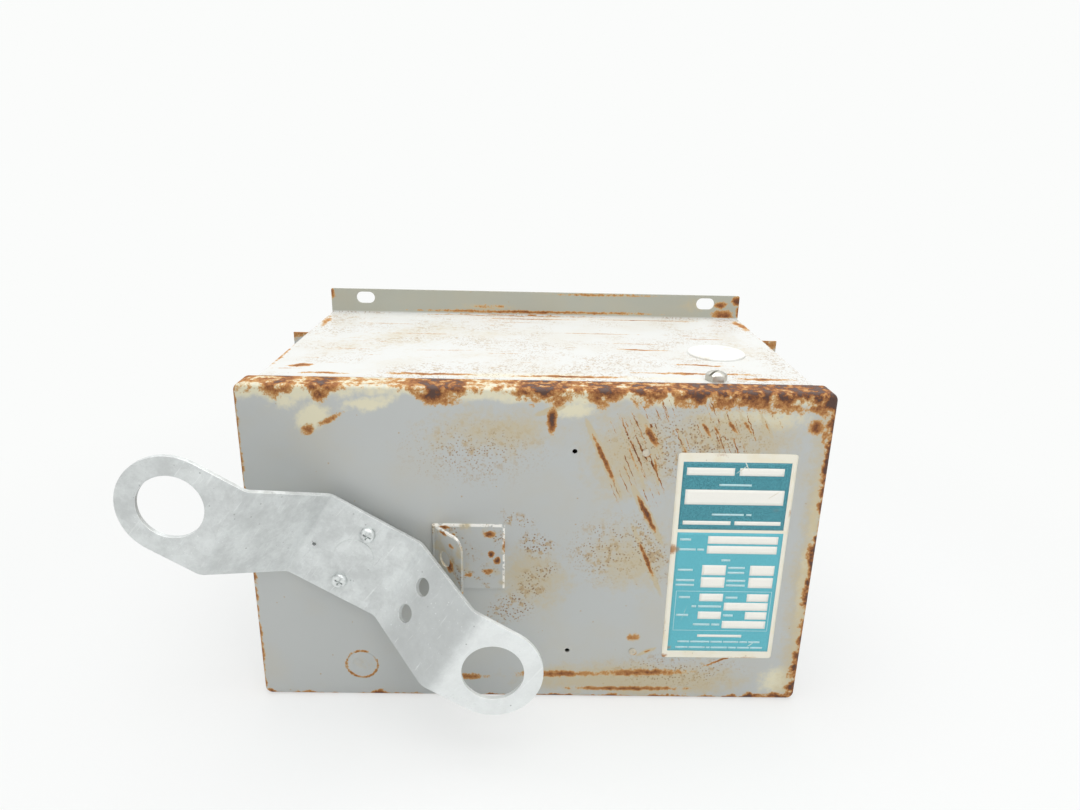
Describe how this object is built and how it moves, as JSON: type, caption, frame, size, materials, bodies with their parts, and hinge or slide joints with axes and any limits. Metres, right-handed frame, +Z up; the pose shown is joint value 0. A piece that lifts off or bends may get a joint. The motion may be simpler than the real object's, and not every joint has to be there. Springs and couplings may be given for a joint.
{
  "type": "plug-in busway disconnect switch box",
  "caption": "Sheet steel plug-in disconnect switch box with hinged cover, double-eye rocker lever, padlock bracket, blades, fuses and rear busway stabs.",
  "frame": {"origin": "in the flat underside, centred between the sides, half way between the cover face and the plane of the mounting ears", "axes": "+X right as seen from the cover, +Y from the cover towards the busway, +Z up"},
  "size_m": [0.434, 0.2737, 0.2545],
  "materials": {
    "grey_enamel": "weathered light grey enamel with rust",
    "galvanised_steel": "dull spangled galvanising",
    "zinc_plated_steel": "satin zinc plating",
    "spring_steel": "oiled spring wire",
    "nylon": "moulded nylon",
    "copper_alloy": "dull copper",
    "tinned_aluminium": "tin plated",
    "red_phenolic": "moulded glass polyester",
    "black_phenolic": "moulded phenolic",
    "fibre_sheet": "vulcanised fibre",
    "fuse_fibre": "varnished fibre tube",
    "label_film": "printed film"
  },
  "bodies": {
    "enclosure": {"top_panel": "grey_enamel", "bottom_panel": "grey_enamel", "side_panel_left": "grey_enamel", "side_panel_right": "grey_enamel", "rear_panel": "grey_enamel", "hole_seal": "grey_enamel", "hinge_leaf_body": "grey_enamel", "hinge_pins": "zinc_plated_steel", "guide_studs": "zinc_plated_steel", "slide_bracket": "zinc_plated_steel", "drive_spring": "spring_steel", "pivot_bracket": "zinc_plated_steel", "pivot_pin": "zinc_plated_steel", "blade_hinge_pins": "copper_alloy", "line_jaws": "copper_alloy", "hinge_jaws": "copper_alloy", "fuse_clips": "copper_alloy", "fuse_ferrules": "copper_alloy", "fuse_tube_1": "fuse_fibre", "fuse_tube_2": "fuse_fibre", "fuse_tube_3": "fuse_fibre", "load_lugs": "tinned_aluminium", "lug_screws": "zinc_plated_steel", "switch_base": "red_phenolic", "base_screws": "zinc_plated_steel", "arc_chutes": "black_phenolic", "phase_barriers": "fibre_sheet", "stab_base": "red_phenolic", "bus_stab_1": "copper_alloy", "bus_stab_2": "copper_alloy", "bus_stab_3": "copper_alloy", "ground_stab": "zinc_plated_steel", "ground_lug": "tinned_aluminium"},
    "cover": {"cover_pan": "grey_enamel", "cover_knockout": "grey_enamel", "rating_label": "label_film", "nameplate_rivets": "zinc_plated_steel", "padlock_bracket": "grey_enamel", "cover_catch": "zinc_plated_steel", "hinge_leaf_cover": "grey_enamel", "shaft_bushing": "nylon"},
    "handle": {"handle_lever": "galvanised_steel", "handle_screws": "zinc_plated_steel", "handle_hub": "zinc_plated_steel", "handle_shaft": "zinc_plated_steel", "shaft_retainer": "zinc_plated_steel", "shaft_washer": "zinc_plated_steel", "handle_crank": "zinc_plated_steel", "crank_pin": "zinc_plated_steel"},
    "slide": {"drive_slide": "zinc_plated_steel"},
    "blades": {"bell_crank": "zinc_plated_steel", "drive_pin": "zinc_plated_steel", "crossbar": "black_phenolic", "switch_blade_1": "copper_alloy", "switch_blade_2": "copper_alloy", "switch_blade_3": "copper_alloy"},
    "release": {"release_screw": "zinc_plated_steel", "release_cam": "zinc_plated_steel"}
  },
  "joints": [
    {"name": "cover_hinge", "type": "hinge", "parent": "enclosure", "child": "cover", "pos_m": [0.1847, -0.0472, 0.1165], "axis": [0, 0, 1], "range_deg": [0, 105]},
    {"name": "handle_turn", "type": "hinge", "parent": "cover", "child": "handle", "pos_m": [-0.1179, -0.069, 0.1204], "axis": [0, 1, 0], "range_deg": [-40, 0]},
    {"name": "slide_travel", "type": "slide", "parent": "enclosure", "child": "slide", "axis": [0, 0, 1], "range_m": [-0.02053, 0], "deforming": ["drive_spring"]},
    {"name": "blade_swing", "type": "hinge", "parent": "enclosure", "child": "blades", "pos_m": [0.03, 0.021, 0.15], "axis": [1, 0, 0], "range_deg": [0, 64.01]},
    {"name": "release_turn", "type": "hinge", "parent": "enclosure", "child": "release", "pos_m": [0.1179, -0.0428, 0.2335], "axis": [0, 0, 1], "range_deg": [-90, 0]}
  ],
  "couplings": [
    {"joint": "slide_travel", "follows": "handle_turn", "m_per_rad": 0.029395},
    {"joint": "blade_swing", "follows": "handle_turn", "ratio": -1.6}
  ]
}
